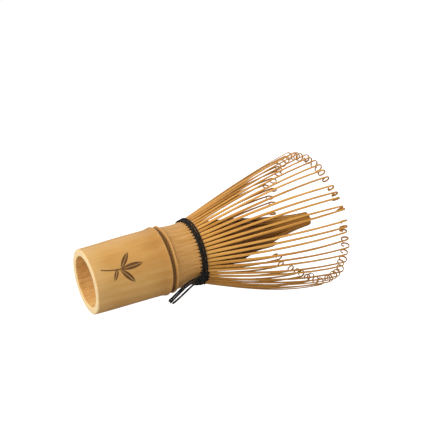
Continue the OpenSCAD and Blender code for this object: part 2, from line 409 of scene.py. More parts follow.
def culm_material():
    """Skin, node, sawn end and bore of the handle."""
    g = Graph("bamboo culm")
    obj, (x, y, z) = g.where()
    r = g.math("SQRT", g.math("ADD", g.math("POWER", x, 2.0), g.math("POWER", y, 2.0)))
    phi = g.math("ARCTAN2", y, x)
    # long fibres, broad tone, slow clouding
    fine = g.noise(g.scaled(obj, 3600, 3600, 70), 1.0, 4.0, 0.6)
    broad = g.noise(g.scaled(obj, 420, 420, 14), 1.0, 3.0, 0.5)
    cloud = g.noise(g.scaled(obj, 85, 85, 40), 1.0, 3.0, 0.55, 0.6)
    tone = g.math("ADD", g.math("MULTIPLY", fine, 0.30), g.math("ADD", g.math("MULTIPLY", broad, 0.42), g.math("MULTIPLY", cloud, 0.40)))
    skin = g.ramp(tone, [(0.36, srgb("B07A36")), (0.47, srgb("C8924A")), (0.56, srgb("D29E55")), (0.70, srgb("DDAE6A"))], "LINEAR")
    # the skin goes deeper and redder just below the node, paler at the sawn end
    skin = g.mix(g.fade(z, 0.022, 0.0335, 0.0, 0.45), skin, srgb("B0722F"))
    skin = g.mix(g.fade(z, 0.009, 0.0005, 0.0, 0.34), skin, srgb("E8C284"))
    # fine dark flecks and a few longer stains
    fleck = g.voronoi(g.scaled(obj, 900, 900, 210), 1.0)
    fleck = g.fade(fleck, 0.05, 0.13, 1.0, 0.0)
    rare = g.fade(g.noise(g.scaled(obj, 130, 130, 60), 1.0, 2.0), 0.50, 0.66)
    skin = g.mix(g.math("MULTIPLY", g.math("MULTIPLY", fleck, rare), 0.50), skin, srgb("8E5C2A"))
    streak = g.fade(g.noise(g.scaled(obj, 1500, 1500, 26), 1.0, 2.0), 0.66, 0.76)
    skin = g.mix(g.math("MULTIPLY", streak, 0.30), skin, srgb("A8713A"))
    # groove of the node: darker in its recess, partly the node's own colour and partly painted shade
    groove = g.attr("groove")
    grit = g.noise(g.scaled(obj, 1500, 1500, 900), 1.0, 4.0, 0.65)
    dark = g.mix(grit, srgb("3A220C"), srgb("6E4A20"))
    skin = g.mix(g.math("MULTIPLY", groove, g.fade(grit, 0.2, 0.7, 0.62, 0.95)), skin, dark)
    # painted highlight: the crests of the node's two ridges are made paler
    crest_highlight = g.attr("crest_highlight")
    skin = g.mix(g.math("MULTIPLY", crest_highlight, 0.75), skin, srgb("E2B26C"))
    # shaved neck: skin gone, browner, close straight fibres
    neck_fine = g.noise(g.scaled(obj, 5200, 5200, 60), 1.0, 4.0, 0.65)
    neck_broad = g.noise(g.scaled(obj, 900, 900, 26), 1.0, 3.0, 0.55)
    neck = g.ramp(g.math("ADD", g.math("MULTIPLY", neck_fine, 0.55), g.math("MULTIPLY", neck_broad, 0.50)),
                  [(0.34, srgb("B07C3E")), (0.50, srgb("CC9652")), (0.62, srgb("D8A462")), (0.75, srgb("E2B476"))], "LINEAR")
    skin = g.mix(g.fade(z, 0.0352, 0.0364), skin, neck)
    # burnt-in sprig
    wobble = g.noise(g.scaled(obj, 2500, 2500, 2500), 1.0, 2.0)
    mark = leaf_mark(g, phi, z)
    mark = g.math("MULTIPLY", mark, g.math("MULTIPLY", g.fade(wobble, 0.25, 0.5, 0.72, 1.0), g.fade(r, 0.0132, 0.0134)))
    skin = g.mix(g.math("MULTIPLY", mark, 0.94), skin, srgb("53300F"))
    # end grain: dots of fibre bundles, close near the skin and sparse inside
    flat = g.scaled(obj, 1, 1, 0)
    dots_out = g.fade(g.voronoi(flat, 2900), 0.20, 0.42, 1.0, 0.0)
    dots_in = g.fade(g.voronoi(flat, 1500), 0.18, 0.36, 1.0, 0.0)
    outer = g.fade(r, 0.0122, 0.0134)
    dots = g.math("ADD", g.math("MULTIPLY", dots_out, outer), g.math("MULTIPLY", dots_in, g.math("SUBTRACT", 1.0, outer)))
    pith = g.noise(g.scaled(obj, 900, 900, 900), 1.0, 4.0, 0.6)
    end = g.mix(pith, srgb("EBC88E"), srgb("F8E2B6"))
    end = g.mix(g.math("MULTIPLY", dots, 0.42), end, srgb("B98A4E"))
    end_mask = g.attr("endgrain")
    colour = g.mix(end_mask, skin, end)
    # bore: pale soft wall with faint long fibres
    wall_f = g.noise(g.scaled(obj, 1800, 1800, 90), 1.0, 4.0, 0.6)
    wall_c = g.noise(g.scaled(obj, 160, 160, 120), 1.0, 3.0, 0.6)
    wall = g.ramp(g.math("ADD", g.math("MULTIPLY", wall_f, 0.6), g.math("MULTIPLY", wall_c, 0.45)),
                  [(0.38, srgb("C9924C")), (0.52, srgb("E6B36A")), (0.68, srgb("F4CC8C"))], "LINEAR")
    inside = g.attr("bore")
    colour = g.mix(inside, colour, wall)
    # wax and wear in the gloss
    rough = g.math("ADD", 0.34, g.math("MULTIPLY", g.noise(g.scaled(obj, 240, 240, 90), 1.0, 4.0, 0.6), 0.22))
    matt = g.math("MAXIMUM", g.math("MAXIMUM", end_mask, inside), g.math("MAXIMUM", g.math("MULTIPLY", groove, 0.9), g.fade(z, 0.0352, 0.0364, 0.0, 0.55)))
    rough = g.math("ADD", rough, g.math("MULTIPLY", matt, 0.30))
    height = g.math("ADD", g.math("MULTIPLY", fine, 0.5), g.math("ADD", g.math("MULTIPLY", neck_fine, g.fade(z, 0.0352, 0.0364, 0.0, 1.1)), g.math("MULTIPLY", g.math("ADD", dots, pith), g.math("MULTIPLY", end_mask, 0.7))))
    height = g.math("SUBTRACT", height, g.math("ADD", g.math("MULTIPLY", mark, 0.9), g.math("MULTIPLY", g.math("MULTIPLY", grit, groove), 0.8)))
    g.set(Base_Color=colour, Roughness=rough, Normal=g.bump(height, 0.55, 0.00006))
    g.bsdf.inputs["Specular IOR Level"].default_value = 0.28
    g.put(g.bsdf.inputs["Coat Weight"], g.math("MULTIPLY", g.math("SUBTRACT", 1.0, matt), 0.06, clamp=True))
    g.bsdf.inputs["Coat Roughness"].default_value = 0.28
    g.bsdf.inputs["Subsurface Weight"].default_value = 0.06
    g.bsdf.inputs["Subsurface Radius"].default_value = (1.0, 0.55, 0.25)
    g.bsdf.inputs["Subsurface Scale"].default_value = 0.0012
    return g.mat


def strip_material(name, stops, dark, gloss, edge, tip_from, root_tone=None):
    """Split bamboo strips. Attributes: run, mm along; across, -1 to 1; skin, 1 on the outer face; seed."""
    g = Graph(name)
    run, across, skin, seed = (g.attr(a) for a in ("run", "across", "skin", "seed"))
    obj, (x, y, z) = g.where()
    key = g.math("MULTIPLY", seed, 57.0)
    v = g.vector(g.math("MULTIPLY", across, 2.6), key, g.math("MULTIPLY", run, 0.035))
    fine = g.noise(v, 2.2, 5.0, 0.65)
    v2 = g.vector(g.math("MULTIPLY", across, 0.7), key, g.math("MULTIPLY", run, 0.05))
    slow = g.noise(v2, 1.1, 2.0, 0.5)
    tone = g.math("ADD", g.math("MULTIPLY", fine, 0.52), g.math("MULTIPLY", slow, 0.30))
    tone = g.math("ADD", tone, g.math("MULTIPLY", g.math("SUBTRACT", seed, 0.5), 0.16))
    colour = g.ramp(tone, stops, "LINEAR")
    # dark fibre ends showing as short dashes
    dash = g.noise(g.vector(g.math("MULTIPLY", across, 6.0), key, g.math("MULTIPLY", run, 0.22)), 1.6, 3.0, 0.6)
    colour = g.mix(g.fade(dash, 0.62, 0.72, 0.0, 0.45), colour, dark)
    colour = g.mix(g.fade(run, tip_from, tip_from + 9.0, 0.0, 0.25), colour, dark)
    # the side edges, where the knife went, and the inner face are darkened towards the edge colour: painted shade; the
    # inner face is also rougher
    edge_shade_mask = g.fade(g.math("ABSOLUTE", across), 0.72, 1.0)
    colour = g.mix(g.math("MULTIPLY", edge_shade_mask, 0.5), colour, edge)
    inner = g.math("SUBTRACT", 1.0, skin)
    colour = g.mix(g.math("MULTIPLY", inner, 0.45), colour, edge)
    if root_tone is None:
        # painted shade: the gathered part is darkened low down, inside the ring of outer tines
        colour = g.mix(g.fade(z, 0.097, 0.072, 0.0, 0.80), colour, srgb("522C05"))
    else:
        colour = g.mix(g.fade(z, 0.0465, 0.0505, 0.85, 0.0), colour, root_tone(g, obj))
    rough = g.math("ADD", gloss, g.math("MULTIPLY", fine, 0.25))
    rough = g.math("ADD", rough, g.math("MULTIPLY", inner, 0.18))
    height = g.math("ADD", fine, g.math("MULTIPLY", dash, 0.6))
    g.set(Base_Color=colour, Roughness=rough, Normal=g.bump(height, 0.5, 0.00005))
    g.bsdf.inputs["Specular IOR Level"].default_value = 0.26
    g.bsdf.inputs["Subsurface Weight"].default_value = 0.05
    g.bsdf.inputs["Subsurface Radius"].default_value = (1.0, 0.5, 0.2)
    g.bsdf.inputs["Subsurface Scale"].default_value = 0.0006
    return g.mat


def neck_tone(g, obj):
    fine = g.noise(g.scaled(obj, 5200, 5200, 60), 1.0, 4.0, 0.65)
    broad = g.noise(g.scaled(obj, 900, 900, 26), 1.0, 3.0, 0.55)
    return g.ramp(g.math("ADD", g.math("MULTIPLY", fine, 0.55), g.math("MULTIPLY", broad, 0.50)),
                  [(0.34, srgb("B07C3E")), (0.50, srgb("CC9652")), (0.62, srgb("D8A462")), (0.75, srgb("E2B476"))], "LINEAR")


def thread_material():
    g = Graph("dark cotton thread")
    turn, run = g.attr("across"), g.attr("run")
    fibre = g.noise(g.vector(g.math("ADD", g.math("MULTIPLY", turn, 9.0), g.math("MULTIPLY", run, 1.6)), g.math("MULTIPLY", run, 0.6), g.attr("seed")), 1.0, 5.0, 0.7)
    obj, _ = g.where()
    dust = g.noise(g.scaled(obj, 2600, 2600, 2600), 1.0, 3.0, 0.6)
    colour = g.ramp(fibre, [(0.30, srgb("050404")), (0.55, srgb("0D0B0A")), (0.78, srgb("1E1A17"))], "LINEAR")
    colour = g.mix(g.fade(dust, 0.60, 0.78, 0.0, 0.25), colour, srgb("332B24"))
    g.set(Base_Color=colour, Roughness=g.math("ADD", 0.62, g.math("MULTIPLY", dust, 0.2)), Normal=g.bump(fibre, 0.8, 0.00005))
    g.bsdf.inputs["Sheen Weight"].default_value = 0.05
    g.bsdf.inputs["Sheen Roughness"].default_value = 0.45
    g.bsdf.inputs["Specular IOR Level"].default_value = 0.3
    return g.mat


def floor_material():
    g = Graph("studio sweep")
    g.set(Base_Color=(0.45, 0.45, 0.45), Roughness=0.9)
    g.bsdf.inputs["Specular IOR Level"].default_value = 0.0
    g.bsdf.inputs["Emission Color"].default_value = (1, 1, 1, 1)
    # seen from below the sweep isn't there
    geo = g.node("ShaderNodeNewGeometry")
    path = g.node("ShaderNodeLightPath")
    g.put(g.bsdf.inputs["Emission Strength"], g.math("MULTIPLY_ADD", path.outputs["Is Camera Ray"], 0.90, 0.12))
    clear = g.node("ShaderNodeBsdfTransparent")
    mix = g.node("ShaderNodeMixShader")
    g.nt.links.new(g.math("MULTIPLY", geo.outputs["Backfacing"], path.outputs["Is Camera Ray"]), mix.inputs[0])
    g.nt.links.new(g.bsdf.outputs[0], mix.inputs[1])
    g.nt.links.new(clear.outputs[0], mix.inputs[2])
    g.nt.links.new(mix.outputs[0], g.out.inputs[0])
    return g.mat


CULM = culm_material()
TINE = strip_material(
    "outer tine bamboo",
    [(0.28, srgb("B27628")), (0.40, srgb("D29444")), (0.52, srgb("E4AA56")), (0.66, srgb("F0C076"))],
    srgb("7A4A10"), 0.34, srgb("B0782A"), 64.0, neck_tone,
)
# the outer tines' bamboo in darker tones: painted shade on the inner bundle
INNER = strip_material(
    "inner tine bamboo with painted shade",
    [(0.28, srgb("8C5412")), (0.40, srgb("BC8030")), (0.52, srgb("D89E46")), (0.66, srgb("E8B866"))],
    srgb("54300A"), 0.5, srgb("7E4E14"), 90.0,
)
THREAD = thread_material()


# ------------------------------------------------------------------ culm
def culm_r(z):
    """Outer radius of the handle and its node, before the small irregularities."""
    base = HANDLE_R + FLARE * np.clip(z, 0, NODE_LO) / NODE_LO
    return base


def neck_r(z):
    return hermite(
        [36.0, 37.0, 39.4, 42, 44.2, 46.3, 48, 49.2, 49.9, 50.4],
        [13.78, 13.62, 13.37, 13.25, 13.34, 13.6, 13.95, 14.30, 14.56, 14.78],
        z,
    )


def build_culm():
    """Handle, node and neck as one skin, cut into three objects that meet edge to edge."""
    n = TINES * 10
    phi = np.arange(n) / n * TAU
    # height of each row: rounded rim, handle, node, neck
    rim = 0.72
    a = np.linspace(-90, 0, 9)[1:] * math.pi / 180
    rim_z = rim + rim * np.sin(a)
    rim_dr = rim * (1 - np.cos(a))
    z_rows = np.concatenate([
        rim_z,
        np.linspace(rim, 29.6, 96)[1:],
        np.linspace(29.6, 37.2, 96)[1:],
        np.linspace(37.2, SPLIT_Z, 22)[1:],
    ])
    dr_rows = np.concatenate([rim_dr, np.zeros(len(z_rows) - len(rim_z))])
    PH, Z = np.meshgrid(phi, z_rows)
    oval = Ripple(3, 3, (2, 4), (0.0, 0.03))
    lump = Ripple(4, 10, (3, 9), (0.05, 0.3))
    fibre = Ripple(5, 40, (60, 190), (0.0, 0.05), 0.3)
    ridgey = Ripple(6, 16, (10, 40), (0.0, 0.12), 0.4)
    warp = Ripple(8, 6, (1, 5), (0.0, 0.01), 0.6)
    warp2 = Ripple(9, 6, (2, 7), (0.0, 0.01), 0.6)
    # node profile: dz from the groove, its two ridges wander a little round the culm
    w1 = 0.30 * warp(PH, 0) * 0.7
    w2 = 0.16 * warp2(PH, 0) * 0.7
    shift = np.where(Z < NODE_Z, w1, w2)
    zz = Z - NODE_Z - shift * np.exp(-(((Z - NODE_Z) / 2.2) ** 2))
    knots_z = [-6.0, -4.2, -3.0, -2.2, -1.75, -1.45, -1.22, -1.04, -0.86, -0.3, 0.40, 0.86, 1.08, 1.24, 1.38, 1.54, 1.76, 2.3, 3.0]
    knots_r = [14.28, 14.34, 14.46, 14.66, 14.78, 14.80, 14.72, 14.42, 14.08, 13.90, 13.88, 13.98, 14.20, 14.50, 14.58, 14.46, 14.04, 13.80, 13.62]
    node = hermite(knots_z, knots_r, zz)
    R = np.where(Z < NODE_Z - 4.2, culm_r(Z), node)
    R = np.where(Z > NODE_Z + 2.3, np.where(Z > NODE_Z + 3.0, neck_r(Z), node), R)
    near = step(29.0, 31.0, Z)
    R = np.where(Z <= NODE_Z - 3.0, culm_r(Z) * (1 - near) + np.maximum(node, culm_r(Z)) * near, R)
    neck = step(35.2, 36.0, Z)
    R = R + 0.07 * oval(PH, Z) * (1 - step(34, 41, Z)) * 0.8
    R = R + 0.030 * lump(PH, Z) * (1 - neck * 0.6) * (1 - step(40.5, SPLIT_Z, Z))
    R = R + (0.006 - 0.002 * neck) * fibre(PH, Z)
    R = R + (0.010 * (1 - neck) + 0.004 * neck) * ridgey(PH, Z)
    # tooling in the groove and a few sheath scars on the lower ridge
    groove = np.exp(-(((zz + 0.06) / 0.86) ** 6))
    scar = Ripple(11, 30, (30, 120), (0.5, 3.0), 0.3)
    R = R + 0.035 * groove * scar(PH, Z) + 0.020 * np.exp(-(((zz + 1.45) / 0.4) ** 2)) * scar(PH, Z * 0.3)
    R = R - np.repeat(dr_rows[:, None], n, 1)
    # masks for painted highlights along the crests of the node's two ridges
    crest_highlight = np.exp(-(((zz - 1.40) / 0.24) ** 2))
    first_ridge_highlight = 0.7 * np.exp(-(((zz + 1.42) / 0.34) ** 2))
    V = cyl(R, PH, Z)
    rows, cols = V.shape[:2]
    # vertex normals of the whole skin, so that the cut edges shade as one
    du = np.roll(V, -1, 1) - np.roll(V, 1, 1)
    dv = np.gradient(V, axis=0)
    N = unit(np.cross(du, dv))
    masks = {"groove": groove * (1 - neck), "crest_highlight": np.maximum(crest_highlight, first_ridge_highlight), "endgrain": 1 - step(0.0, 0.62, Z), "bore": np.zeros_like(Z)}
    cuts = [(0, int(np.searchsorted(z_rows, NODE_LO))), (int(np.searchsorted(z_rows, NODE_LO)), int(np.searchsorted(z_rows, NODE_HI))), (int(np.searchsorted(z_rows, NODE_HI)), rows - 1)]
    # inner side: end face, bore up to the node, chamber above it
    inner_wave = Ripple(13, 14, (3, 30), (0.02, 0.2), 0.6)
    objs = []
    for which, (lo, hi) in enumerate(cuts):
        name = ("handle_tube", "node_ring", "root_collar")[which]
        Vs, Ns = V[lo : hi + 1], N[lo : hi + 1]
        ms = {k: m[lo : hi + 1] for k, m in masks.items()}
        zt, zb = z_rows[hi], z_rows[lo]
        # path of the wall's far side, from the top edge back to the bottom edge
        if which == 0:
            prof = [(BORE_R, z, 0.0, 1.0) for z in np.linspace(zt, 1.2, 22)]
            prof += [(BORE_R + 0.42 * (1 - math.cos(t)), 0.55 - 0.5 * math.sin(t) + 0.05, step(0.2, 1.0, t).item(), 1 - step(0.2, 1.0, t).item()) for t in np.linspace(0.15, 1.35, 6)]
            prof += [(BORE_R + 0.42 + (HANDLE_R - 0.72 - BORE_R - 0.42) * t, 0.0 + 0.045 * math.sin(math.pi * t) * -0.0, 1.0, 0.0) for t in np.linspace(0.10, 0.985, 9)]
        elif which == 1:
            prof = [(BORE_R + 0.2, z, 0.0, 1.0) for z in np.linspace(zt, 34.8, 5)]
            prof += [(BORE_R, z, 0.0, 1.0) for z in np.linspace(34.2, zb, 8)]
        else:
            prof = [(BORE_R + 0.25, z, 0.0, 1.0) for z in np.linspace(zt, zb, 6)]
        Vi = []
        for r, z, e, b in prof:
            wave = inner_wave(phi, z) * (0.05 * b + 0.012 * e)
            saw = 0.02 * e * fibre(phi, r * 3)
            Vi.append(cyl(r + wave, phi, np.full(n, z) + saw))
        Vi = np.array(Vi)
        if which:  # flat cut faces between the pieces, hidden inside the culm
            pass
        allV = np.concatenate([Vs, Vi])
        m = len(allV)
        di = unit(np.cross(np.roll(allV, -1, 1) - np.roll(allV, 1, 1), np.gradient(allV, axis=0)))
        faces = ring_faces(m, n).tolist()
        last, first = (m - 1) * n, 0
        for j in range(n):
            faces.append([last + j, last + (j + 1) % n, first + (j + 1) % n, first + j])
        zeros = np.zeros((len(Vi), n))
        vals = {k: np.concatenate([ms[k], zeros]).ravel() for k in ms}
        e = np.array([p[2] for p in prof])[:, None] * np.ones((1, n))
        b = np.array([p[3] for p in prof])[:, None] * np.ones((1, n))
        vals["endgrain"] = np.concatenate([ms["endgrain"], e]).ravel()
        vals["bore"] = np.concatenate([ms["bore"], b]).ravel()
        obj = add_mesh(name + "_skin", allV.reshape(-1, 3), faces, CULM, vals)
        normals = np.concatenate([Ns, di[len(Vs):]]).reshape(-1, 3)
        if which == 0:
            # the rim turns over smoothly, so its normals come from the closed profile
            ring = np.concatenate([allV[-2:], allV, allV[:2]])
            d = unit(np.cross(np.roll(ring, -1, 1) - np.roll(ring, 1, 1), np.gradient(ring, axis=0)))[2:-2]
            normals = d.reshape(m, n, 3)
            normals[6 : len(Vs)] = Ns[6:]
            normals = normals.reshape(-1, 3)
        if which:
            loops = None
        obj.data.normals_split_custom_set_from_vertices([tuple(v) for v in normals])
        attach(obj, "whisk")
        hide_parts(name)
        objs.append(obj)
    return objs


build_culm()


# ------------------------------------------------------------------ strips
def strip_section(crown, bevel, m_out=7, m_in=5):
    """Cross-section of a split strip: (across, depth). Depth 0 is the outer face, 1 the inner."""
    out = np.linspace(-1, 1, m_out)
    pts = []
    # outer face, left to right, rounded off at its edges
    for x in out:
        e = max(0.0, abs(x) - 0.62) / 0.38
        pts.append((x * (1 - 0.06 * bevel * e), crown * x * x + bevel * 0.30 * e * e, x, 1.0))
    for y in (0.42 + 0.1 * bevel, 0.78):
        pts.append((1.0, y, 1.0, 0.5))
    for x in np.linspace(0.93, -0.93, m_in):
        pts.append((x, 1.0 - 0.03 * (1 - x * x), x, 0.0))
    for y in (0.78, 0.42 + 0.1 * bevel):
        pts.append((-1.0, y, -1.0, 0.5))
    return np.array(pts)


def strip_mesh(pile, O, N, W, hw, thick, crown, bevel, seed, wedge=None):
    """A strip whose outer face follows O. N points out of that face, W across it."""
    n = len(O)
    base = strip_section(0.0, 1.0)
    m = len(base)
    S = np.empty((n, m, 2))
    for i in range(n):
        s = strip_section(crown[i], bevel[i])
        S[i, :, 0], S[i, :, 1] = s[:, 0], s[:, 1]
    if wedge is not None:
        S[..., 0] *= 1 - S[..., 1] * (wedge * thick)[:, None]
    V, F, caps = sweep(O, W, -N, S, hw, thick)
    run = np.concatenate([[0], np.cumsum(np.linalg.norm(np.diff(O, axis=0), axis=1))])
    runs = np.repeat(run, m)
    across = np.tile(base[:, 2], n)
    skin = np.tile(base[:, 3], n)
    tail = lambda a, e: np.concatenate([a, e])
    pile.add(
        V, [f[::-1] for f in F], caps,
        run=tail(runs, np.concatenate([runs[:m], runs[-m:]])),
        across=tail(across, np.concatenate([across[:m], across[:m]])),
        skin=tail(skin, np.concatenate([skin[:m], skin[:m]]) * 0 + 0.3),
        seed=seed,
    )


LEANS = (1.7, 0.2, 1.5, 2.6, 3.0, 1.8, 2.2, -2.2, 1.3, -1.3, -2.6, -2.8, -3.2, -3.0, -1.6, -2.0, -2.6, -1.2)


def outer_tine(pile, k):
    r = np.random.default_rng(500 + k)
    phi0 = (k - 1) * PITCH
    # heights down in the neck, at the roots, up the stem, then round the curl
    z_low = np.concatenate([np.linspace(SPLIT_Z, 44.0, 8), np.linspace(44.0, ROOT_Z, 22)[1:]])
    t_root, t_mid, t_tip = 0.56, 0.52, 0.37 + 0.03 * r.uniform(-1, 1)
    u = np.linspace(0, 1, 44)[1:]
    curl_r = CURL_R * r.uniform(0.96, 1.14)
    top = r.normal(0, 0.35)
    out = r.normal(0, 0.32)
    deg = math.degrees(phi0) % 360
    # one side is worn shorter, and a few tines there have been pulled down further
    short = 7.0 * math.exp(-(((deg - 195) / 38) ** 2)) + (0, 0, 2.5, 0, 4.5, 1.5)[k % 6] * r.uniform(0.6, 1.2) * float(step(228, 248, deg) * (1 - step(285, 300, deg)))
    short = short + abs(r.normal(0, 1.2)) * float(step(150, 185, deg) * (1 - step(215, 240, deg)))
    out = out - 0.1 * short
    cz = CURL_Z + np.clip(top, -0.7, 0.25) - short
    # the side that has been pressed in the bowl has opened straighter
    bow = 0.7 - 0.42 * math.exp(-(((deg - 312) / 42) ** 2))
    stem_r = ROOT_R + (RING_R + out - ROOT_R) * (bow * np.sin(np.pi / 2 * u) + (1 - bow) * u)
    stem_r = stem_r + 0.35 * r.normal() * np.sin(np.pi * u) ** 2 * u
    stem_z = ROOT_Z + (cz - ROOT_Z) * u
    low_r = neck_r(z_low) - 0.28 * step(49.0, 50.0, z_low)
    turn = math.radians(r.uniform(285, 335))
    v = np.linspace(0, 1, 30)[1:]
    q = curl_r * (1 - 0.22 * v)
    curl_rr = stem_r[-1] - curl_r + q * np.cos(turn * v)
    curl_zz = cz + q * np.sin(turn * v)
    rr = np.concatenate([low_r, stem_r, curl_rr])
    zz = np.concatenate([z_low, stem_z, curl_zz])
    n_low, n_stem = len(z_low), len(u)
    # drop the root join so the surface line is continuous with the outer face
    lift = np.zeros(len(rr))
    lift[:n_low] = 0.28 * step(49.0, 50.0, z_low)
    tang = unit(np.stack([np.gradient(rr), np.gradient(zz)], -1))
    nrm = np.stack([tang[:, 1], -tang[:, 0]], -1)
    s = np.concatenate([[0], np.cumsum(np.hypot(np.diff(rr), np.diff(zz)))])
    s_root = s[n_low - 1]
    s_tip = s[n_low + n_stem - 1]
    w = np.clip((s - s_root) / (s_tip - s_root), 0, None)
    thick = np.where(
        s < s_root,
        2.15 + (0.58 - 2.15) * step(44.9, 46.0, np.concatenate([z_low, np.full(len(rr) - n_low, 60.0)])),
        hermite([0, 0.25, 0.6, 0.95, 1.1, 1.6], [t_root, t_mid, 0.47, t_tip + 0.04, t_tip, t_tip * 0.85], np.clip(w, 0, 1.6)),
    )
    # surface line: middle line plus half the thickness, once past the root
    half = np.where(s < s_root, lift, np.where(w < 0.02, 0.28, thick / 2))
    half[n_low:] = thick[n_low:] / 2
    rr_o, zz_o = rr + nrm[:, 0] * half, zz + nrm[:, 1] * half
    # width, from touching its neighbours in the neck to a fine tip
    z_for_gap = np.concatenate([z_low, np.full(len(rr) - n_low, 50.0)])
    gap = hermite([SPLIT_Z, 44.0, 45.6, 48.0, 50.05], [0.0, 0.05, 0.14, 0.26, 0.38], z_for_gap)
    hw_root = rr * math.tan(PITCH / 2) - gap / 2
    wf = r.uniform(0.94, 1.05)
    hw_free = hermite(
        [0, 0.12, 0.30, 0.60, 0.9, 1.0, 1.3], np.array([1.33, 1.31, 1.15, 0.98, 0.84, 0.78, 0.68]) / 2 * wf, np.clip(w, 0, 1.3)
    )
    hw = np.where(s <= s_root, hw_root, hw_free)
    blend_zone = step(s_root - 1.5, s_root + 2.0, s)
    hw = hw_root * (1 - blend_zone) + hw_free * blend_zone
    # sideways wander and lean
    lean = r.normal(0, 0.30) * np.clip(w, 0, 1.3) ** 2 + 0.22 * r.normal() * np.sin(np.pi * np.clip(w, 0, 1)) * np.clip(w, 0, 1)
    cw = np.clip((s - s_tip) / (s[-1] - s_tip), 0, 1)
    lean = lean + r.normal(0, 0.42) * cw**1.3
    # neighbours that have drawn together or apart at their ends, in degrees
    turn_off = LEANS[k] if k < len(LEANS) else r.normal(0, 1.1)
    lean = lean + np.radians(turn_off) * RING_R * np.clip(w, 0, 1.1) ** 1.8
    P = cyl(rr_o, phi0, zz_o)
    er = np.array([math.cos(phi0), math.sin(phi0), 0.0])
    et = np.array([-math.sin(phi0), math.cos(phi0), 0.0])
    P = P + lean[:, None] * et
    N = nrm[:, :1] * er + nrm[:, 1:] * np.array([0, 0, 1.0])
    twist = math.radians(r.normal(0, 5.0)) * np.clip(w, 0, 1) ** 1.5
    T = unit(np.gradient(P, axis=0))
    W = unit(et - T * (T @ et)[:, None])
    N = unit(np.cross(W, T))
    N = N * np.sign((N * (nrm[:, :1] * er + nrm[:, 1:] * np.array([0, 0, 1.0]))).sum(1))[:, None]
    c, sn = np.cos(twist)[:, None], np.sin(twist)[:, None]
    W, N = W * c + N * sn, N * c - W * sn
    # small knife waviness in thickness and width
    wave = 1 + 0.03 * np.sin(s * r.uniform(0.5, 0.9) + r.uniform(0, 6)) * step(s_root, s_root + 4, s)
    hw = hw * wave
    thick = thick * (1 + 0.04 * np.sin(s * r.uniform(0.7, 1.3) + r.uniform(0, 6)) * step(s_root, s_root + 4, s))
    crown_abs = np.where(s < s_root, hw**2 / (2 * rr), 0.10 * hw)
    crown = crown_abs / thick
    bevel = np.where(s < s_root, step(SPLIT_Z + 0.1, SPLIT_Z + 2.0, rr * 0 + zz) * 0.10, 0.10 + 0.75 * step(s_root, s_root + 6, s))
    bevel = np.minimum(bevel, 1.0) * np.where(thick > 1, 0.35, 1.0)
    wedge = np.where(s < s_root, 1 / rr, 0.0)
    strip_mesh(pile, P, N, W, hw, thick, crown, bevel, r.uniform(), wedge)


def build_outer():
    for g in range(GROUPS):
        pile = Pile()
        for k in range(3 * g, 3 * g + 3):
            outer_tine(pile, k)
        obj = pile.build(f"outer_tines_{g + 1:02d}_split", TINE)
        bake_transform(obj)
        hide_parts(f"outer_tines_{g + 1:02d}")


def inner_tine(pile, k):
    r = np.random.default_rng(900 + k)
    phi0 = (k - 1) * PITCH
    # every other strip lies behind its neighbours and closes the gap between them
    deep = k % 2
    core = deep and k % 4 == 3
    u = np.linspace(0, 1, 50)
    z_end = 106.5 + r.uniform(-0.22, 0.22) - 0.25 * deep
    z = COMB_Z - 0.4 + (z_end - COMB_Z + 0.4) * u
    # outline of the gathered cone, its outer face
    outline = hermite(
        [44, 50, 58, 66, 72, 80, 88, 96, 102, 107],
        [11.55, 11.5, 10.9, 9.9, 8.9, 7.0, 5.55, 4.1, 3.35, 3.05],
        z,
    )
    far = 2.1 if core else 0.95
    inset = deep * hermite([44, 47, 52, 75, 92, 107], [0.0, 0.2, 0.72, 0.70, 0.72, far], z)
    rr = outline - inset + 0.20 * r.normal() * np.sin(np.pi * u) ** 2 * (1 - 0.6 * deep) + 0.04 * r.normal()
    rr = np.maximum(rr, 0.5)
    thick = hermite([0, 0.3, 0.7, 1], [0.60, 0.54, 0.48, 0.42], u)
    swing = math.radians(r.normal(0, 2.2)) * u**2 + math.radians(9) * u**2.2
    phi = phi0 + swing
    room = np.maximum(outline, 0.8) * TAU / TINES
    if deep:
        hw = np.maximum(room * 1.52, hermite([0, 0.45, 0.8, 1], [1.2, 1.2, 1.5, 1.45], u)) / 2
        hw = hw * (0.62 + 0.38 * step(0.0, 0.12, u))
        if core:
            hw = hw * (1 - 0.45 * step(0.85, 1.0, u))
    else:
        hw = np.maximum(room * 0.86, hermite([0, 0.45, 0.8, 1], [0.9, 1.0, 1.02, 0.98], u)) / 2 * r.uniform(0.90, 1.06)
    P = cyl(rr, phi, z)
    er = cyl(1.0, phi, 0.0)
    T = unit(np.gradient(P, axis=0))
    N = unit(er - T * (er * T).sum(1)[:, None])
    W = unit(np.cross(T, N))
    tilt = math.radians(r.normal(6 if not deep else 0, 5 - 3 * deep)) * step(0.25, 0.9, u)
    c, sn = np.cos(tilt)[:, None], np.sin(tilt)[:, None]
    W, N = W * c + N * sn, N * c - W * sn
    crown = 0.08 * hw / thick
    bevel = np.full(len(u), 0.5)
    strip_mesh(pile, P, N, W, hw, thick, crown, bevel, r.uniform())


def build_inner():
    for g in range(GROUPS):
        pile = Pile()
        for k in range(3 * g, 3 * g + 3):
            inner_tine(pile, k)
        obj = pile.build(f"inner_tines_{g + 1:02d}_split", INNER)
        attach(obj, "whisk")
        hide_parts(f"inner_tines_{g + 1:02d}")


build_outer()
build_inner()


